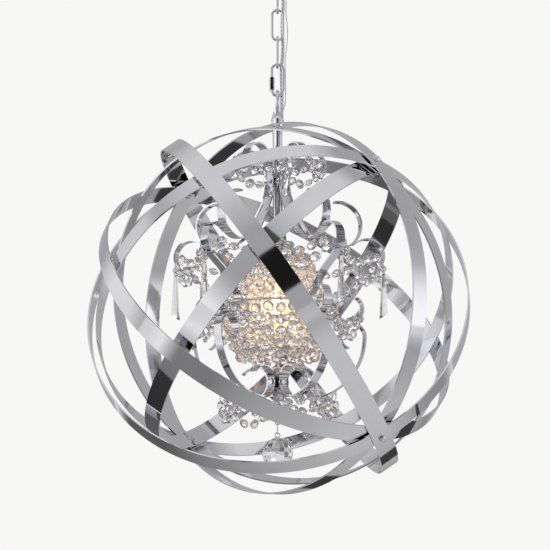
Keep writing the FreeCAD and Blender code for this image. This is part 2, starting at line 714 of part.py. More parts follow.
def bead_string(points, across):
    """A string of cut beads. The first and last points are its ends, the rest are bead centres.

    across is the way the beads' thin side faces.
    """
    rows = []
    for number in range(1, len(points) - 1):
        along = points[number + 1] - points[number - 1]
        along.normalize()
        wide = along.cross(across)
        wide.normalize()
        thin = wide.cross(along)
        if number == 1:
            rows.append((points[0], wide * string_wire / 2, thin * string_wire / 2))
        for reach, width, thickness in ((-bead_radius, string_wire / 2, string_wire / 2),
                                        (-bead_table, bead_radius, bead_half_thickness),
                                        (bead_table, bead_radius, bead_half_thickness),
                                        (bead_radius, string_wire / 2, string_wire / 2)):
            rows.append((points[number] + along * reach, wide * width, thin * thickness))
    rows.append((points[-1], rows[-1][1], rows[-1][2]))
    rings = [[centre + wide, centre + thin, centre - wide, centre - thin] for centre, wide, thin in rows]
    triangles = [(rings[0][0], rings[0][1], rings[0][2]), (rings[0][0], rings[0][2], rings[0][3]),
                 (rings[-1][0], rings[-1][1], rings[-1][2]), (rings[-1][0], rings[-1][2], rings[-1][3])]
    for low, high in zip(rings, rings[1:]):
        for side in range(4):
            after = (side + 1) % 4
            triangles.append((low[side], low[after], high[after]))
            triangles.append((low[side], high[after], high[side]))
    shell = Part.makeShell([Part.Face(Part.makePolygon([a, b, c, a])) for a, b, c in triangles])
    solid = Part.Solid(shell)
    return solid if solid.Volume > 0 else solid.reversed()


def hanging_string(spots):
    """A string in the XZ plane through (out, height) spots, its beads facing outward."""
    along = Vector(spots[-1][0] - spots[0][0], 0, spots[-1][1] - spots[0][1])
    return bead_string([Vector(x, 0, z) for x, z in spots], Vector(-along.z, 0, along.x))


def swag(out, height, sag, beads):
    """A string that droops from one arm to the next, from the sides of their straps."""
    half_angle = math.pi / arm_count
    side = bar_width / 2 + seat_gap + string_wire / 2
    half_chord = out * math.sin(half_angle) - side * math.cos(half_angle)
    middle_out = out * math.cos(half_angle) + side * math.sin(half_angle)
    fine = 400
    curve = [Vector(middle_out, half_chord * (2 * n / fine - 1),
                    height - sag * (1 - (2 * n / fine - 1) ** 2)) for n in range(fine + 1)]
    lengths = [0.0]
    for before, after in zip(curve, curve[1:]):
        lengths.append(lengths[-1] + (after - before).Length)
    spots = []
    for number in range(beads + 2):
        goal = lengths[-1] * number / (beads + 1)
        spots.append(curve[min(range(len(curve)), key=lambda index: abs(lengths[index] - goal))])
    print(f"swag at {out:.0f}: bead pitch {lengths[-1] / (beads + 1):.1f}")
    return around(bead_string(spots, Vector(1, 0, 0)), arm_count, arm_azimuth + 180.0 / arm_count)


def crystals():
    """All the strings of beads, and the ring that carries the skirt."""
    curl_out, ring_height = middle_curl_centre()
    ring_radius = curl_out - middle_curl_radius - bar_thickness / 2 - seat_gap - skirt_ring_wire_radius
    save("skirt_ring", Part.makeTorus(ring_radius, skirt_ring_wire_radius, Vector(0, 0, ring_height), up))
    top = plate_bottom - seat_gap
    spots = [(column_out, top)]
    spots += [(column_out, top - bead_pitch * (number + 0.5)) for number in range(column_strand_beads)]
    spots.append((column_out, spots[-1][1] - bead_radius - string_wire))
    save("column_strings", around(hanging_string(spots), column_strand_count, arm_azimuth))
    clear = skirt_ring_wire_radius + seat_gap + string_wire / 2
    spots = [(plate_radius - 1, top)] + drape_spots
    spots.append((ring_radius - clear * 0.4, ring_height + clear * 0.92))
    save("drape_strings", around(hanging_string(spots), drape_count, arm_azimuth + drape_offset))
    spots = [(ring_radius, ring_height - clear)]
    spots += [(ring_radius - inward, ring_height - down) for inward, down in skirt_steps]
    save("skirt_strings", around(hanging_string(spots), skirt_strand_count, arm_azimuth + skirt_offset))
    for name, out, height, sag, beads in swags:
        save(name, swag(out, height, sag, beads))


def wire_ring(centre, radius, wire_radius, normal):
    """A closed ring of wire."""
    return Part.makeTorus(radius, wire_radius, centre, normal)


def prisms():
    """The eyes in the outer arches and the prisms that hang in them."""
    start, direction = eye_line()
    tail = bar_thickness / 2 + seat_gap
    centre = start + direction * (tail + eye_wire_radius + eye_radius)
    eye = wire_ring(centre, eye_radius, eye_wire_radius, Vector(0, 1, 0))
    pin = Part.makeCylinder(eye_wire_radius, 2 * tail + eye_wire_radius, start - direction * tail, direction)
    save("prism_eyes", around(eye.fuse(pin), arm_count, arm_azimuth))
    pivot = centre - up * eye_radius
    ring_centre = pivot + up * (eye_wire_radius + ring_wire_radius + seat_gap - small_ring_radius)
    ring = wire_ring(ring_centre, small_ring_radius, ring_wire_radius, Vector(1, 0, 0))
    top = ring_centre.z - small_ring_radius
    profile = [(prism_shoulder_radius, top - prism_length),
               (prism_radius, top - prism_length + prism_foot),
               (prism_shoulder_radius, top - prism_point), (prism_shoulder_radius * 0.6, top)]
    crystal = faceted([(radius, height) for radius, height in profile], prism_side_count)
    crystal.translate(Vector(centre.x, 0, 0))
    body = crystal.fuse(ring)
    print("prism pivot", centre.x, pivot.z - ceiling)
    for number, shape in enumerate(around(body, arm_count, arm_azimuth)):
        save(f"prism_{number + 1}", shape)


def ball():
    """The eye under the hub, the small links and the crystal ball."""
    foot = hub_bottom - hub_dome_height
    centre = Vector(0, 0, foot - seat_gap - eye_wire_radius - eye_radius)
    eye = wire_ring(centre, eye_radius, eye_wire_radius, Vector(0, 1, 0))
    pin = Part.makeCylinder(eye_wire_radius, hub_eye_depth - seat_gap,
                            Vector(0, 0, foot - seat_gap - eye_wire_radius / 2))
    save("ball_eye", eye.fuse(pin))
    wire_top = centre.z - eye_radius + eye_wire_radius + seat_gap + 2 * ring_wire_radius
    links = []
    for number in range(ball_link_count):
        link = oval(ball_link_length, ball_link_width, ring_wire_radius)
        link = turned(link, 90 if number % 2 == 0 else 0)
        link.translate(up * (wire_top - ball_link_length))
        links.append(link)
        wire_top -= ball_link_length - 4 * ring_wire_radius - seat_gap
    save("ball_links", links)
    ring_centre = wire_top - ring_wire_radius - small_ring_radius
    ring = wire_ring(Vector(0, 0, ring_centre), small_ring_radius, ring_wire_radius, Vector(0, 1, 0))
    ball_top = ring_centre - small_ring_radius
    angles = [math.pi * row / ball_row_count for row in range(ball_row_count + 1)]
    profile = [(ball_radius * math.sin(angle) if 0 < row < ball_row_count else 0,
                ball_top - ball_radius - ball_radius * math.cos(angle)) for row, angle in enumerate(angles)]
    save("crystal_ball", faceted(profile, ball_side_count).fuse(ring))
    print("ball pivot", centre.z - eye_radius - ceiling, "ball centre", ball_top - ball_radius)


outer_pivot = Vector(-math.cos(math.radians(hoop_plane_azimuth)),
                     -math.sin(math.radians(hoop_plane_azimuth)), 1)
inner_pivot = Vector(math.cos(math.radians(hoop_plane_azimuth)),
                     math.sin(math.radians(hoop_plane_azimuth)), 1)
outer_pivot.normalize()
inner_pivot.normalize()
main_normal = Vector(math.sin(math.radians(hoop_plane_azimuth)),
                     -math.cos(math.radians(hoop_plane_azimuth)), 0)

save("main_hoop", main_hoop())
for hoop_name, hoop_swing in outer_hoop_swings.items():
    save(hoop_name, hoop(hoop_name, outer_pivot, hoop_swing))
for hoop_name, hoop_swing in inner_hoop_swings.items():
    save(hoop_name, hoop(hoop_name, inner_pivot, hoop_swing))
for group_name, group_solids in zip(("pivot_screws", "pivot_nuts", "pivot_washers"), pivots()):
    save(group_name, group_solids)
chain_links()
quick_link()
loops()
cords()
canopy()
stem()
arm_fixings()
arm = scroll_arm()
for arm_number, arm_solid in enumerate(around(arm, arm_count, arm_azimuth)):
    save(f"scroll_arm_{arm_number + 1}", arm_solid)
lamp()
crystals()
prisms()
ball()
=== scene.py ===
import bpy
import bmesh
import json
import math
from mathutils import Matrix, Quaternion, Vector


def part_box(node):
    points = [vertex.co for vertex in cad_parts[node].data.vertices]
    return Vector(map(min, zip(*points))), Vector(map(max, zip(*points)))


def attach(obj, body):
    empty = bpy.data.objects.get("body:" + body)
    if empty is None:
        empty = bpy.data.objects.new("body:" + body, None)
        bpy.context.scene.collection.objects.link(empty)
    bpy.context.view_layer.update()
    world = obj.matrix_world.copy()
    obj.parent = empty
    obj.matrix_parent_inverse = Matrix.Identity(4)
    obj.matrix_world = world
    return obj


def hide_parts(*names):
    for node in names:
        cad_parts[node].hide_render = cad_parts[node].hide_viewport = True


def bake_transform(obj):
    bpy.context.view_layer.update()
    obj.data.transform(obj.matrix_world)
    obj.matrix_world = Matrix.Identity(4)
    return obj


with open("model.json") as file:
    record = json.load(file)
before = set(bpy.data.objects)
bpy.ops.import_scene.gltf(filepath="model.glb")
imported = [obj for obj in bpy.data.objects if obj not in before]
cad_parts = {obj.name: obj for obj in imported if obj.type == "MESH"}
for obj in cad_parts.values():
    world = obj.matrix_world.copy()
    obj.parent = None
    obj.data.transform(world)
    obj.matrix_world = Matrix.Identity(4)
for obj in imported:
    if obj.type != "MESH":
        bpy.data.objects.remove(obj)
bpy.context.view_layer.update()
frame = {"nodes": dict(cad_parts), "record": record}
print("frame loaded:", len(frame["nodes"]), "nodes")

orbHeight = -0.5009  # centre of the orb, below the ceiling
armCount = 5
armAzimuth = 15.0  # of the first arm, in degrees
seatGap = 0.0003  # left between pieces that rest on each other


# shader maths: a wrapped socket, so that a pattern reads as an expression

class Wire:
    def __init__(self, shader, socket):
        self.shader = shader
        self.socket = socket

    def maths(self, operation, other=None, swapped=False):
        pair = [self] if other is None else [self, other]
        if swapped:
            pair.reverse()
        return self.shader.node("ShaderNodeMath", {"operation": operation}, dict(enumerate(pair)))

    def __add__(self, other):
        return self.maths("ADD", other)

    def __sub__(self, other):
        return self.maths("SUBTRACT", other)

    def __rsub__(self, other):
        return self.maths("SUBTRACT", other, True)

    def __mul__(self, other):
        return self.maths("MULTIPLY", other)

    def __pow__(self, other):
        return self.maths("POWER", other)

    def __rpow__(self, other):
        return self.maths("POWER", other, True)

    def __gt__(self, other):
        return self.maths("GREATER_THAN", other)

    def __lt__(self, other):
        return self.maths("LESS_THAN", other)

    __radd__ = __add__
    __rmul__ = __mul__

    def sine(self):
        return self.maths("SINE")

    def size(self):
        return self.maths("ABSOLUTE")

    def between(self, low, high):  # 0 at low, 1 at high, and never past either
        return self.shader.node("ShaderNodeMapRange", {"clamp": True},
                                {"Value": self, "From Min": low, "From Max": high})


class Shader:
    def __init__(self, name, tree=None):
        if tree is None:
            self.material = bpy.data.materials.new(name)
            self.material.use_nodes = True
            tree = self.material.node_tree
            self.surface = tree.nodes["Principled BSDF"]
        self.tree = tree

    def feed(self, socket, value):
        if isinstance(value, Wire):
            self.tree.links.new(value.socket, socket)
        else:
            socket.default_value = value

    def node(self, kind, settings=None, sockets=None, output=0):
        made = self.tree.nodes.new(kind)
        for name, value in (settings or {}).items():
            setattr(made, name, value)
        for name, value in (sockets or {}).items():
            self.feed(made.inputs[name], value)
        return Wire(self, made.outputs[output])

    def place(self, output="Object"):
        return self.node("ShaderNodeTexCoord", output=output)

    def parts(self, vector):
        split = self.node("ShaderNodeSeparateXYZ", sockets={0: vector})
        return [Wire(self, socket) for socket in split.socket.node.outputs]

    def noise(self, vector, scale, detail=3.0):
        return self.node("ShaderNodeTexNoise",
                         sockets={"Vector": vector, "Scale": scale, "Detail": detail})

    def compare(self, operation, first, second):  # two vectors in, one number out
        return self.node("ShaderNodeVectorMath", {"operation": operation},
                         {0: first, 1: second}, "Value")

    def blend(self, amount, first, second):
        first, second = (value if isinstance(value, Wire) else (*value, 1)
                         for value in (first, second))
        return self.node("ShaderNodeMix", {"data_type": "RGBA"},
                         {0: amount, 6: first, 7: second}, 2)

    def give(self, **sockets):
        for name, value in sockets.items():
            self.feed(self.surface.inputs[name.replace("_", " ")], value)

    def relief(self, height, strength, distance):
        self.give(Normal=self.node("ShaderNodeBump", sockets={
            "Height": height, "Strength": strength, "Distance": distance}))


# finishes: scales count a pattern's cells per metre

def chromeFinish(name, look):
    shader = Shader(name)
    spot = shader.place()
    smudge = shader.noise(spot, look["smudgeScale"], 4.0).between(0.42, 0.68)
    scratch = shader.noise(spot, look["scratchScale"], 2.0).between(0.3, 0.75)
    wave = shader.noise(spot, look["waveScale"], 2.0)
    worn = smudge * look["smudgeWear"] + scratch * look["scratchWear"]
    shader.give(Base_Color=shader.blend(worn, look["colour"], look["dull"]), Metallic=1.0,
                Roughness=smudge * look["smudge"] + scratch * look["scratch"] + look["roughness"])
    shader.relief(wave + scratch * look["scratchDepth"], look["wave"], look["depth"])
    return shader.material


# cut glass: painted warm and cool glints in its colour, standing in for dispersion fire, and a
# painted amber glow on what is near the bulb, standing in for the bulb's light
def crystalFinish(name, look):
    shader = Shader(name)
    spot = shader.place()
    cloud = shader.noise(spot, look["cloudScale"], 2.0).between(0.35, 0.7)
    fleck = shader.noise(spot, look["fleckScale"], 1.0).between(0.62, 0.7)
    fire = shader.noise(spot, look["fireScale"], 1.0).between(0.40, 0.62)
    spark = shader.noise(spot, look["sparkScale"], 2.0).between(0.48, 0.58)
    # painted glints: warm and cool blotches in the base colour stand in for dispersion fire
    glint = shader.blend(fire, look["warm"], look["cool"])
    # painted glow: crystals near the bulb emit amber light in sparks, standing in for the bulb's
    # light shining through them
    fromBulb = shader.compare("DISTANCE", spot, (0, 0, orbHeight))
    near = (look["glowReach"] - fromBulb).between(0.0, look["glowReach"] - look["glowCore"])
    # the clouds set where the painted glints show, and also the roughness and relief
    shader.give(Base_Color=shader.blend(cloud * look["glintShare"], look["colour"], glint),
                Roughness=fleck * look["fleck"] + cloud * look["cloud"] + look["roughness"],
                Emission_Color=shader.blend(near ** look["glowFall"] * spark, (0.0, 0.0, 0.0),
                                            look["glowAmber"]),
                Emission_Strength=look["glow"], Transmission_Weight=look["clear"],
                IOR=look["bend"])
    shader.relief(cloud, look["relief"], look["depth"])
    return shader.material


def bulbFinish(name, look):
    shader = Shader(name)
    height = shader.parts(shader.place())[2]
    fromMiddle = (height - look["middle"]).size().between(0.0, look["reach"])
    swirl = shader.noise(shader.place(), look["swirlScale"], 2.0)
    heat = (fromMiddle + swirl * look["swirl"]).between(0.1, 1.0)
    shader.give(Base_Color=shader.blend(fromMiddle, look["warm"], look["pale"]),
                Roughness=look["roughness"], Transmission_Weight=look["clear"], IOR=look["bend"],
                Emission_Color=shader.blend(heat, look["hot"], look["edge"]),
                Emission_Strength=look["glow"])
    return shader.material


def filamentFinish(name, look):
    shader = Shader(name)
    grain = shader.noise(shader.place(), look["grainScale"], 1.0)
    colour = shader.blend(grain, look["hot"], look["edge"])
    shader.give(Base_Color=colour, Roughness=look["roughness"], Emission_Color=colour,
                Emission_Strength=look["glow"])
    return shader.material


# strands laid round a cord, on the coordinates of its own surface
def cordFinish(name, look):
    shader = Shader(name)
    across = shader.parts(shader.place("UV"))
    turns = across[0] * look["turns"] + across[1] * look["strands"]
    lay = (turns * (2 * math.pi)).sine()
    grain = shader.noise(shader.place(), look["grainScale"], 2.0)
    mask = (lay * 0.5 + 0.5).between(0.2, 0.9)
    shader.give(Base_Color=shader.blend(mask * 0.8 + grain * 0.2, look["dark"], look["light"]),
                Roughness=look["roughness"] - mask * look["shine"],
                Metallic=mask * look["metal"], Coat_Weight=look["coat"])
    shader.relief(lay, look["relief"], look["depth"])
    return shader.material


def plainFinish(name, look):
    shader = Shader(name)
    spot = shader.place()
    grain = shader.noise(spot, look["grainScale"])
    stain = shader.noise(spot, look["stainScale"]).between(0.4, 0.7)
    worn = stain * look["stain"] + grain * look["grain"]
    shader.give(Base_Color=shader.blend(worn, look["colour"], look["shade"]),
                Roughness=grain * look["dulling"] + look["roughness"], Metallic=look["metal"])
    shader.relief(grain, look["relief"], look["depth"])
    return shader.material


cordLook = {"roughness": 0.42, "shine": 0.2, "coat": 0.7, "grainScale": 1500.0, "relief": 0.5,
            "depth": 0.0003}
plainLook = {"grainScale": 700.0, "grain": 0.3, "stainScale": 30.0, "stain": 0.6, "dulling": 0.15,
             "relief": 0.15, "depth": 0.0002}
finishes = {
    "chrome": chromeFinish("polished chrome", {
        "colour": (0.80, 0.80, 0.82), "dull": (0.62, 0.62, 0.65), "roughness": 0.03,
        "smudge": 0.035, "smudgeScale": 9.0, "smudgeWear": 0.35,
        "scratch": 0.03, "scratchScale": 900.0, "scratchWear": 0.2, "scratchDepth": 0.04,
        "wave": 0.06, "waveScale": 26.0, "depth": 0.0004}),
    "zinc_steel": plainFinish("zinc plate", {
        **plainLook, "colour": (0.66, 0.66, 0.62), "shade": (0.45, 0.45, 0.43),
        "roughness": 0.3, "metal": 0.9}),
    "cord_sleeve": cordFinish("silver cord under a clear sleeve", {
        **cordLook, "turns": 42.0, "strands": 2.0, "dark": (0.26, 0.26, 0.28),
        "light": (0.72, 0.72, 0.73), "metal": 0.5}),
    "earth_wire": cordFinish("fine earth wire", {
        **cordLook, "turns": 90.0, "strands": 1.0, "dark": (0.38, 0.36, 0.34),
        "light": (0.74, 0.72, 0.70), "metal": 0.7}),
    "holder_plastic": plainFinish("lamp holder", {
        **plainLook, "colour": (0.90, 0.89, 0.85), "shade": (0.78, 0.76, 0.70),
        "roughness": 0.45, "metal": 0.0}),
    "lamp_glass": bulbFinish("bulb glass, lit", {
        "middle": orbHeight + 0.002, "reach": 0.045, "swirl": 0.2, "swirlScale": 60.0,
        "warm": (1.0, 0.93, 0.80), "pale": (1.0, 0.97, 0.92), "roughness": 0.04, "clear": 0.9,
        "bend": 1.15, "hot": (1.0, 0.66, 0.30), "edge": (1.0, 0.50, 0.20), "glow": 0.45}),
    "crystal": crystalFinish("cut crystal", {
        # warm and cool are the painted glint colours, with the share of the colour that leans to
        # them
        "colour": (0.99, 0.99, 1.0), "warm": (1.0, 0.87, 0.79), "cool": (0.78, 0.85, 1.0),
        "glintShare": 0.85, "roughness": 0.0, "fleck": 0.05, "cloud": 0.02, "clear": 0.95, "bend": 1.62,
        "cloudScale": 160.0, "fleckScale": 620.0, "fireScale": 230.0, "sparkScale": 150.0,
        # the painted glow from the bulb: its colour, strength, reach, core and fall
        "glowAmber": (1.0, 0.72, 0.46), "glow": 0.46, "glowReach": 0.094, "glowCore": 0.03,
        "glowFall": 1.6, "relief": 0.05, "depth": 0.0002}),
}
threadFinish = filamentFinish("filament", {
    "hot": (1.0, 0.68, 0.30), "edge": (1.0, 0.58, 0.22), "roughness": 0.6, "glow": 9.0,
    "grainScale": 400.0})
brassFinish = plainFinish("screw base brass", {
    **plainLook, "colour": (0.83, 0.66, 0.36), "shade": (0.55, 0.40, 0.20),
    "roughness": 0.25, "metal": 1.0})
for part in frame["record"]["subparts"]:
    shown = frame["nodes"][part["node"]]
    shown.data.materials.clear()
    shown.data.materials.append(finishes[part["material_slot"]])
print("finishes made:", len(finishes))


# making pieces

def clearSelection():
    if bpy.context.mode != "OBJECT":
        bpy.ops.object.mode_set(mode="OBJECT")
    bpy.ops.object.select_all(action="DESELECT")


def newest():
    return bpy.context.view_layer.objects.active


def editAll():
    bpy.ops.object.mode_set(mode="EDIT")
    bpy.ops.mesh.select_all(action="SELECT")


def pickFaces(piece, wanted):
    bpy.ops.mesh.select_mode(type="FACE")
    bpy.ops.mesh.select_all(action="DESELECT")
    shape = bmesh.from_edit_mesh(piece.data)
    for face in shape.faces:
        face.select = wanted(face)
    bmesh.update_edit_mesh(piece.data)


def insetTop(piece, thickness):
    pickFaces(piece, lambda face: face.normal.z > 0.9)
    bpy.ops.mesh.inset(thickness=thickness)


def finishPiece(piece, finish):  # out of edit mode, with its finish
    bpy.ops.object.mode_set(mode="OBJECT")
    piece.data.materials.append(finish)
    return piece


def settle(piece, turn=None):  # its place and turn go into its mesh
    if turn is not None:
        piece.matrix_world = turn
    clearSelection()
    piece.select_set(True)
    bpy.context.view_layer.objects.active = piece
    bpy.ops.object.transform_apply(location=True, rotation=True, scale=True)
    return piece


def joinAll(name, group):
    clearSelection()
    for piece in group:
        piece.select_set(True)
    bpy.context.view_layer.objects.active = group[0]
    bpy.ops.object.join()
    whole = newest()
    whole.name = name
    return settle(whole)


def copyAt(model, matrix):
    made = model.copy()
    made.data = model.data.copy()
    bpy.context.scene.collection.objects.link(made)
    made.matrix_world = matrix
    return made


def forget(piece):
    bpy.data.objects.remove(piece)


def axesAt(spot, side, facing, along):
    return Matrix((
        (side.x, along.x, facing.x, spot.x),
        (side.y, along.y, facing.y, spot.y),
        (side.z, along.z, facing.z, spot.z),
        (0, 0, 0, 1)))


def aroundStem(azimuth):
    return Matrix.Rotation(math.radians(azimuth), 4, "Z")


def hangingRing(values, location, rotation):
    clearSelection()
    bpy.ops.mesh.primitive_torus_add(
        major_segments=24, minor_segments=8, major_radius=values["ringRadius"],
        minor_radius=values["ringWire"], location=location, rotation=rotation)
    ring = newest()
    bpy.ops.object.shade_smooth()
    return settle(finishPiece(ring, finishes["chrome"]))


# beads, strung on small rings of wire

beads = {"radius": 0.0070, "thickness": 0.0042, "table": 0.45, "ringRadius": 0.0019,
         "ringWire": 0.00032, "ringShape": (0.7, 1.15, 1), "ringPitch": 0.0034}


def octagonBead(values):
    clearSelection()
    bpy.ops.mesh.primitive_uv_sphere_add(segments=8, ring_count=4, radius=values["radius"])
    bead = newest()
    editAll()
    bpy.ops.transform.resize(value=(1, 1, values["thickness"] / values["radius"]))
    pickFaces(bead, lambda face: abs(face.normal.z) > 0.8)
    bpy.ops.transform.resize(value=(values["table"] * 2, values["table"] * 2, 1))
    return finishPiece(bead, finishes["crystal"])


def wireLink(values):
    clearSelection()
    bpy.ops.mesh.primitive_torus_add(major_segments=9, minor_segments=4,
                                     major_radius=values["ringRadius"],
                                     minor_radius=values["ringWire"])
    link = newest()
    editAll()
    bpy.ops.transform.resize(value=values["ringShape"])
    return finishPiece(link, finishes["chrome"])


beadModel = octagonBead(beads)
linkModel = wireLink(beads)


# a bead at each inner spot, turned a little more or less than the last, and rings between them
def stringPieces(spots, facing, turn, twist):
    made = []
    for number in range(1, len(spots) - 1):
        along = (spots[number + 1] - spots[number - 1]).normalized()
        side = along.cross(facing).normalized()
        side.rotate(Quaternion(along, math.radians(twist * (number * 7 % 5 - 2))))
        out = side.cross(along)
        made.append(copyAt(beadModel, turn @ axesAt(spots[number], side, out, along)))
    for number, (low, high) in enumerate(zip(spots, spots[1:])):
        along = (high - low).normalized()
        side = along.cross(facing).normalized()
        out = side.cross(along)
        ends = [beads["radius"] if 0 < end < len(spots) - 1 else 0.0
                for end in (number, number + 1)]
        start, stop = low + along * ends[0], high - along * ends[1]
        count = max(1, round((stop - start).length / beads["ringPitch"]))
        for step in range(count):
            spot = start.lerp(stop, (step + 0.5) / count)
            first, second = (side, out) if step % 2 == 0 else (out, side)
            made.append(copyAt(linkModel, turn @ axesAt(spot, first, second, along)))
    return made


# strings round the stem; every second one hangs lower by the stagger
def hangingStrings(node, values):
    spots = [Vector((out, 0, orbHeight + height)) for out, height in values["spots"]]
    whole = spots[-1] - spots[0]
    facing = Vector((-whole.z, 0, whole.x))
    drop = Vector((0, 0, values["stagger"]))
    lowered = [spots[0]] + [spot - drop for spot in spots[1:-1]] + [spots[-1]]
    made = []
    for number in range(values["count"]):
        turn = aroundStem(armAzimuth + values["offset"] + number * 360.0 / values["count"])
        made += stringPieces(lowered if number % 2 else spots, facing, turn, values["twist"])
    piece = joinAll(node + "_beads", made)
    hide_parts(node)
    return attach(piece, "chandelier")


swagEnds = {"armHalf": 0.006, "wire": 0.00045, "steps": 400}


# spots along a sagging curve from arm to arm, with its ends on the arms' flanks
def swagSpots(values, sag, beadCount, lift, inward):
    half = math.pi / armCount
    edge = swagEnds["armHalf"] + seatGap + swagEnds["wire"]
    halfChord = values["out"] * math.sin(half) - edge * math.cos(half)
    middleOut = values["out"] * math.cos(half) + edge * math.sin(half)
    steps = swagEnds["steps"]
    curve = []
    for n in range(steps + 1):
        across = 2 * n / steps - 1
        depth = 1 - across ** 2
        curve.append(Vector((middleOut - inward * depth, halfChord * across,
                             orbHeight + values["height"] + lift - sag * depth)))
    reach = [0.0]
    for low, high in zip(curve, curve[1:]):
        reach.append(reach[-1] + (high - low).length)
    spots = []
    for number in range(beadCount + 2):
        goal = reach[-1] * number / (beadCount + 1)
        spots.append(curve[min(range(steps + 1), key=lambda n: abs(reach[n] - goal))])
    out, across, height = values["hook"]
    spots[0] = Vector((out, -across, orbHeight + height))
    spots[-1] = Vector((out, across, orbHeight + height))
    return spots


# the string of the solid, and a second row of beads with it
def swagStrings(node, values):
    rows = [swagSpots(values, values["sag"], values["beads"], 0.0, 0.0),
            swagSpots(values, values["sag"] * values["second"], values["secondBeads"],
                      values["lift"], values["inward"])]
    made = []
    for number in range(armCount):
        turn = aroundStem(armAzimuth + (number + 0.5) * 360.0 / armCount)
        for spots in rows:
            made += stringPieces(spots, Vector((1, 0, 0)), turn, values["twist"])
    piece = joinAll(node + "_beads", made)
    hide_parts(node)
    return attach(piece, "chandelier")


# spots are distances from the stem and heights over the orb's centre
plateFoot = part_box("crystal_plate")[0].z - orbHeight - seatGap
columnStrings = {"count": 15, "offset": 0.0, "twist": 9.0, "stagger": 0.0, "out": 0.036,
                 "pitch": 0.0152, "firstBead": 0.56, "beads": 7, "length": 0.1065}
drops = [columnStrings["pitch"] * (n + columnStrings["firstBead"])
         for n in range(columnStrings["beads"])]
columnStrings["spots"] = [(columnStrings["out"], plateFoot - drop)
                          for drop in [0.0] + drops + [columnStrings["length"]]]
drapeStrings = {"count": 24, "offset": 7.5, "twist": 16.0, "stagger": 0.003,
                "spots": [(0.045, plateFoot), (0.0465, 0.053), (0.0535, 0.0395),
                          (0.0605, 0.0265), (0.0690, 0.0145), (0.0762, 0.0035)]}
skirtStrings = {"count": 30, "offset": 6.0, "twist": 16.0, "stagger": 0.003,
                "spots": [(0.0771, -0.0010), (0.0755, -0.0072), (0.0715, -0.0215),
                          (0.0650, -0.0352), (0.0570, -0.0498), (0.0505, -0.0628),
                          (0.0475, -0.0665)]}

# the second row's sag is a share of the first's; a hook is the seat on an arm
topSwags = {"out": 0.065, "height": 0.189, "sag": 0.016, "beads": 4, "twist": 24.0,
            "second": 0.2, "secondBeads": 4, "lift": 0.004, "inward": 0.010,
            "hook": (0.05611, 0.03335, 0.19)}
armGarlands = {"out": 0.143, "height": 0.070, "sag": 0.042, "beads": 10, "twist": 24.0,
               "second": 0.5, "secondBeads": 9, "lift": 0.006, "inward": 0.016,
               "hook": (0.12017, 0.07989, 0.0698)}
curlGarlands = {"out": 0.114, "height": 0.002, "sag": 0.045, "beads": 8, "twist": 24.0,
                "second": 0.45, "secondBeads": 7, "lift": -0.008, "inward": 0.010,
                "hook": (0.09652, 0.06271, 0.00204)}
bottomSwags = {"out": 0.080, "height": -0.113, "sag": 0.036, "beads": 6, "twist": 24.0,
               "second": 0.55, "secondBeads": 5, "lift": 0.0, "inward": 0.016,
               "hook": (0.06623, 0.0407, -0.10861)}
hangingStrings("column_strings", columnStrings)
hangingStrings("drape_strings", drapeStrings)
hangingStrings("skirt_strings", skirtStrings)
swagStrings("top_swags", topSwags)
swagStrings("arm_garlands", armGarlands)
swagStrings("curl_garlands", curlGarlands)
swagStrings("bottom_swags", bottomSwags)
forget(beadModel)
forget(linkModel)
print("bead strings made")


# long prisms, cut off slantwise at the foot

prism = {"out": 0.145854, "top": 0.0026, "foot": 0.0061, "sides": 6, "slant": 36.0,
         "topInset": 0.4, "tip": 0.001, "ringRadius": 0.0032, "ringWire": 0.0007}


def longPrism(node, azimuth, values):
    low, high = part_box(node)
    glassTop = high.z - 2 * values["ringRadius"] - values["ringWire"]
    length = glassTop - low.z
    clearSelection()
    bpy.ops.mesh.primitive_cone_add(
        vertices=values["sides"], radius1=values["foot"], radius2=values["top"], depth=length,
        location=(values["out"], 0, glassTop - length / 2))
    glass = newest()
    editAll()
    tilt = math.radians(values["slant"])
    bpy.ops.mesh.bisect(
        plane_co=(values["out"], 0, low.z + values["foot"] * math.tan(tilt)),
        plane_no=(math.sin(tilt), 0, -math.cos(tilt)), use_fill=True, clear_outer=True)
    insetTop(glass, values["top"] * values["topInset"])
    bpy.ops.transform.translate(value=(0, 0, values["tip"]))
    finishPiece(glass, finishes["crystal"])
    ringHeight = glassTop - values["ringWire"] * 0.5 + values["ringRadius"]
    ring = hangingRing(values, (values["out"], 0, ringHeight), (0, math.pi / 2, 0))
    whole = joinAll(node + "_glass", [settle(glass), ring])
    whole = settle(whole, aroundStem(azimuth))
    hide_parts(node)
    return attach(whole, node)


for number in range(armCount):
    longPrism(f"prism_{number + 1}", armAzimuth + number * 360.0 / armCount, prism)
print("prisms made")


# crystal ball, with a cap where its ring goes in

ball = {"radius": 0.020, "segments": 16, "rows": 10, "cap": 0.0035, "capDepth": 0.0022,
        "capInset": 0.5, "capRise": 0.0006, "ringRadius": 0.0032, "ringWire": 0.0007}


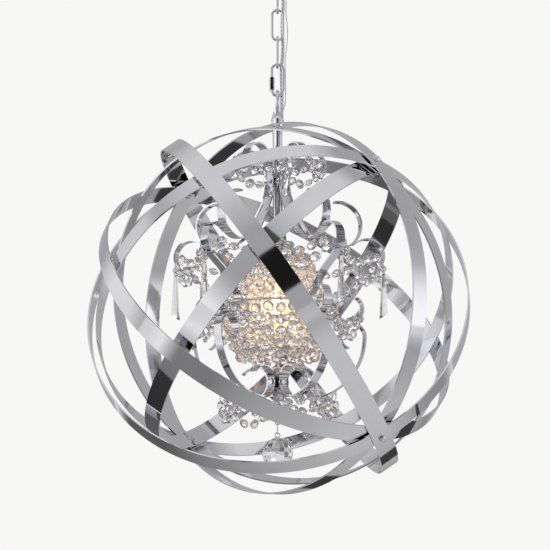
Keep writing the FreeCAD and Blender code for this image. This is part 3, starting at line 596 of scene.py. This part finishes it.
def crystalBall(values):
    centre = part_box("crystal_ball")[0].z + values["radius"]
    top = centre + values["radius"]
    clearSelection()
    bpy.ops.mesh.primitive_uv_sphere_add(segments=values["segments"], ring_count=values["rows"],
                                         radius=values["radius"], location=(0, 0, centre))
    glass = newest()
    bpy.ops.object.mode_set(mode="EDIT")
    pickFaces(glass, lambda face: len(face.verts) == 4)
    bpy.ops.mesh.poke()
    finishPiece(glass, finishes["crystal"])
    clearSelection()
    bpy.ops.mesh.primitive_cylinder_add(vertices=20, radius=values["cap"],
                                        depth=values["capDepth"], location=(0, 0, top))
    cap = newest()
    bpy.ops.object.mode_set(mode="EDIT")
    insetTop(cap, values["cap"] * values["capInset"])
    bpy.ops.transform.translate(value=(0, 0, values["capRise"]))
    finishPiece(cap, finishes["chrome"])
    ring = hangingRing(values, (0, 0, top + values["ringRadius"]), (math.pi / 2, 0, 0))
    whole = joinAll("faceted_ball", [settle(glass), settle(cap), ring])
    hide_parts("crystal_ball")
    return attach(whole, "ball")


crystalBall(ball)
print("ball made")


# the lit bulb: a glass envelope with four glowing threads, on a screw base

bulb = {"radius": 0.0172, "length": 0.0695, "neckFrom": 0.2, "neckWidth": 0.72,
        "baseRadius": 0.0066, "baseInset": 0.55, "threadCount": 4, "threadRadius": 0.0008,
        "threadOut": 0.0052, "threadLength": 0.040}


def litBulb(values):
    low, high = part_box("bulb")
    neck = low.z + values["length"]
    middle = (low.z + neck) / 2
    clearSelection()
    bpy.ops.mesh.primitive_uv_sphere_add(segments=40, ring_count=24, radius=1,
                                         location=(0, 0, middle))
    glass = newest()
    editAll()
    bpy.ops.transform.resize(value=(values["radius"], values["radius"], values["length"] / 2))
    neckFrom = values["length"] * values["neckFrom"]
    pickFaces(glass, lambda face: face.calc_center_median().z > neckFrom)
    bpy.ops.transform.resize(value=(values["neckWidth"], values["neckWidth"], 1))
    finishPiece(glass, finishes["lamp_glass"])
    bpy.ops.object.shade_smooth()
    threads = []
    for number in range(values["threadCount"]):
        turn = 2 * math.pi * (number + 0.25) / values["threadCount"]
        clearSelection()
        bpy.ops.mesh.primitive_cylinder_add(
            vertices=8, radius=values["threadRadius"], depth=values["threadLength"],
            location=(values["threadOut"] * math.cos(turn), values["threadOut"] * math.sin(turn),
                      middle))
        threads.append(settle(finishPiece(newest(), threadFinish)))
    clearSelection()
    depth = high.z - neck
    bpy.ops.mesh.primitive_cylinder_add(vertices=32, radius=values["baseRadius"], depth=depth,
                                        location=(0, 0, neck + depth / 2))
    base = newest()
    bpy.ops.object.mode_set(mode="EDIT")
    insetTop(base, values["baseRadius"] * values["baseInset"])
    finishPiece(base, brassFinish)
    whole = joinAll("lit_bulb", [settle(glass), settle(base)] + threads)
    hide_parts("bulb")
    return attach(whole, "bulb")


litBulb(bulb)
print("bulb made")


# supply cord and earth wire beside the chain; a route is in millimetres, over the cord's foot,
# and its last point is at the cord's top

supplyCord = {"radius": 0.0022, "length": 0.2168, "node": "power_cord", "slot": "cord_sleeve",
              "route": [(5.6, 0.0, 0), (5.6, 0.7, 16), (6.0, 4.8, 33), (5.3, 6.1, 51),
                        (4.9, 5.3, 69), (6.9, 2.2, 86), (7.3, 5.0, 103), (6.2, 5.8, 121),
                        (6.5, 5.1, 139), (7.9, 3.0, 157), (6.6, 5.0, 175), (3.2, 6.2, 190),
                        (0.3, 5.6, 203), (0.0, 5.6, None)]}
earthWire = {"radius": 0.0007, "length": 0.2174, "node": "earth_wire", "slot": "earth_wire",
             "route": [(5.2, 4.2, 0), (5.8, 4.2, 8), (10.4, 3.1, 20), (11.0, 3.6, 34),
                       (10.7, 3.0, 50), (10.3, 2.2, 66), (9.8, 1.4, 80), (12.2, 0.6, 95),
                       (13.4, 1.2, 112), (13.1, 1.6, 128), (11.0, 0.6, 142), (12.0, 1.4, 158),
                       (10.6, 4.4, 174), (7.4, 7.6, 189), (4.7, 5.5, 205), (4.2, 5.2, None)]}


def routeCurve(name, points, radius):
    line = bpy.data.curves.new(name, "CURVE")
    line.dimensions = "3D"
    line.bevel_depth = radius
    line.bevel_resolution = 4
    line.resolution_u = 10
    line.use_fill_caps = radius > 0
    spline = line.splines.new("NURBS")
    spline.points.add(len(points) - 1)
    for target, point in zip(spline.points, points):
        target.co = (*point, 1)
    spline.order_u = 3
    spline.use_endpoint_u = True
    made = bpy.data.objects.new(name, line)
    bpy.context.scene.collection.objects.link(made)
    clearSelection()
    made.select_set(True)
    bpy.context.view_layer.objects.active = made
    bpy.ops.object.convert(target="MESH")
    return newest()


def besideChain(values):
    low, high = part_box(values["node"])
    points = [Vector((x / 1000, y / 1000, high.z if z is None else low.z + z / 1000))
              for x, y, z in values["route"]]
    middle = routeCurve("route", points, 0.0)
    path = [vertex.co.copy() for vertex in middle.data.vertices]
    forget(middle)
    tube = routeCurve(values["node"] + "_twist", points, values["radius"])
    bpy.ops.object.shade_smooth()
    tube.data.materials.clear()
    tube.data.materials.append(finishes[values["slot"]])
    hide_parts(values["node"])
    return tube, path


for values in (supplyCord, earthWire):
    tube, path = besideChain(values)
    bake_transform(tube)
print("cords made")


# the studio that the metal mirrors: bright panels and two dark spots on a plain base. A mask is a
# direction, where along it the mask starts and is full, and the power that it is raised to

studio = {
    "paper": (0.93, 0.93, 0.925), "strength": 1.0, "throughGlass": 0.70, "scattered": 0.85,
    "base": 0.44, "blue": 1.02,
    "panels": [
        {"level": 0.75, "masks": [((-0.9, -0.2, 0.3), 0.63, 0.75, 2.2),
                                  ((0, -1, 0), 0.05, 0.25, 1), ((0, 0, -1), -0.6, -0.3, 1)]},
        {"level": 0.45, "masks": [((-1, 0, 0), 0.62, 0.88, 1), ((0, 1, 0), -0.05, 0.15, 1),
                                  ((0, 0, -1), -0.65, -0.55, 1)]},
        {"level": 0.22, "masks": [((0.85, -0.25, -0.3), 0.55, 0.85, 1)]},
        {"level": 0.60, "masks": [((0.98, 0, -0.2), 0.86, 0.97, 1)]},
        {"level": 0.30, "masks": [((0, 0, 1), 0.60, 0.85, 1), ((-1, -1, 0), -0.75, -0.50, 1)]}],
    "darkSpots": [
        {"level": 0.975, "masks": [((0.035, -0.9675, 0.2507), 0.972, 0.978, 1)]},
        {"level": 0.85, "masks": [((-0.085, -0.795, 0.60), 0.9965, 0.9975, 1)]}],
}


def addFields(shader, spot, fields, base):
    total = base
    for field in fields:
        mask = field["level"]
        for direction, start, full, power in field["masks"]:
            along = shader.compare("DOT_PRODUCT", spot, direction)
            mask = along.between(start, full) ** power * mask
        total = mask + total
    return total


def makeWorld(values):
    world = bpy.data.worlds.new("studio")
    bpy.context.scene.world = world
    world.use_nodes = True
    tree = world.node_tree
    tree.nodes.clear()
    shader = Shader("studio", tree)
    spot = shader.place("Generated")
    dark = addFields(shader, spot, values["darkSpots"], 0.0)
    level = addFields(shader, spot, values["panels"], values["base"]) * (1 - dark)
    mirrored = shader.node("ShaderNodeCombineColor",
                           sockets={0: level, 1: level, 2: level * values["blue"]})
    camera, glass, scattered = (shader.node("ShaderNodeLightPath", output=f"Is {kind} Ray")
                                for kind in ("Camera", "Transmission", "Diffuse"))
    other = glass * values["throughGlass"] + scattered * values["scattered"]
    colour = shader.blend(camera.maths("MAXIMUM", other), mirrored, values["paper"])
    sky = shader.node("ShaderNodeBackground",
                      sockets={"Color": colour, "Strength": values["strength"]})
    tree.links.new(sky.socket, tree.nodes.new("ShaderNodeOutputWorld").inputs[0])


makeWorld(studio)


# a pale floor, which glossy rays see with painted light and painted shade, brighter and darker
# fields that its reflections show, in metres from its middle

floorLook = {
    "height": -1.25, "size": 12, "roughness": 0.7, "pale": (0.86, 0.86, 0.85),
    "shade": (0.80, 0.80, 0.79), "cloudScale": 3.0, "base": 0.19,
    # fields of painted light and painted shade, seen only in reflections
    "fields": [
        {"level": 0.36, "masks": [((1, 0, 0), -0.60, 0.38, 1)]},
        {"level": -0.12, "masks": [((1, 0, 0), 0.7, 1.4, 1)]},
        {"level": 0.85, "masks": [((-1, 0, 0), 1.4, 2.3, 1)]},
        {"level": -0.10, "masks": [((0, 1, 0), 0.1, 0.8, 1)]},
        {"level": 0.25, "masks": [((0, -1, 0), 2.5, 3.5, 1)]},
        {"level": 0.60, "masks": [((1, 0, 0), 2.5, 4.5, 1)]}],
    # how far the painted shade patches darken the floor's reflection
    "dark": 0.95,
    "paintedShadePatches": [{"middle": (0.65, 1.10), "half": (0.55, 0.35)},
                    {"middle": (-1.0, 0.35), "half": (0.30, 0.42)}],
}


def makeFloor(values):
    clearSelection()
    bpy.ops.mesh.primitive_plane_add(size=values["size"], location=(0, 0, values["height"]))
    made = newest()
    made.name = "floor"
    shader = Shader("pale floor")
    spot = shader.place()
    x, y = shader.parts(spot)[:2]
    paintedShade = 0.0
    # painted shade: dark patches that only reflections of the floor show
    for patch in values["paintedShadePatches"]:
        middle, half = patch["middle"], patch["half"]
        inside = (half[0] - (x - middle[0]).size() > 0) * (half[1] - (y - middle[1]).size() > 0)
        paintedShade = inside + paintedShade
    # painted light and shade: brighter and darker fields, seen only by glossy rays
    bright = addFields(shader, spot, values["fields"], values["base"])
    bright = bright * (1 - paintedShade * values["dark"])
    mirrored = shader.blend(bright, (0.0, 0.0, 0.0), (1.0, 1.0, 1.0))
    cloud = shader.noise(spot, values["cloudScale"])
    plain = shader.blend(cloud, values["pale"], values["shade"])
    # glossy rays see the painted reflection; other rays see the plain pale floor
    glossy = shader.node("ShaderNodeLightPath", output="Is Glossy Ray")
    shader.give(Base_Color=shader.blend(glossy, plain, mirrored), Roughness=values["roughness"])
    made.data.materials.append(shader.material)
    return made


stage = [makeFloor(floorLook)]

lamps = {
    "key": {"at": (-1.6, -1.9, 0.7), "size": 1.2, "power": 20.0},
    "fill": {"at": (1.9, -1.2, -0.1), "size": 1.4, "power": 10.0},
    "back": {"at": (0.6, 1.9, 0.6), "size": 1.0, "power": 6.0},
}
for name, values in lamps.items():
    light = bpy.data.lights.new(name, "AREA")
    light.energy = values["power"]
    light.size = values["size"]
    lamp = bpy.data.objects.new(name, light)
    bpy.context.scene.collection.objects.link(lamp)
    lamp.location = values["at"]
    aim = Vector((0, 0, orbHeight)) - Vector(values["at"])
    lamp.rotation_euler = aim.to_track_quat("-Z", "Y").to_euler()
    lamp.visible_glossy = False  # the metal mirrors the studio's panels, not the lamps
    stage.append(lamp)

# the photograph's view; focal length, image and middle are in pixels
view = {"distance": 2.62, "below": 7.8, "focal": 2004.6, "image": 550, "middle": (277.5, 307.56),
        "sensor": 36}
camera = bpy.data.cameras.new("view")
camera.sensor_width = view["sensor"]
camera.lens = view["sensor"] * view["focal"] / view["image"]
camera.shift_x = (0.5 * view["image"] - view["middle"][0]) / view["image"]
camera.shift_y = (view["middle"][1] - 0.5 * view["image"]) / view["image"]
eye = bpy.data.objects.new("view", camera)
bpy.context.scene.collection.objects.link(eye)
lean = math.radians(view["below"])
eye.location = (0, -view["distance"] * math.cos(lean),
                orbHeight - view["distance"] * math.sin(lean))
eye.rotation_euler = (math.radians(90) + lean, 0, 0)
bpy.context.scene.camera = eye
stage.append(eye)
bpy.context.scene.view_settings.view_transform = "Standard"
print("room ready")
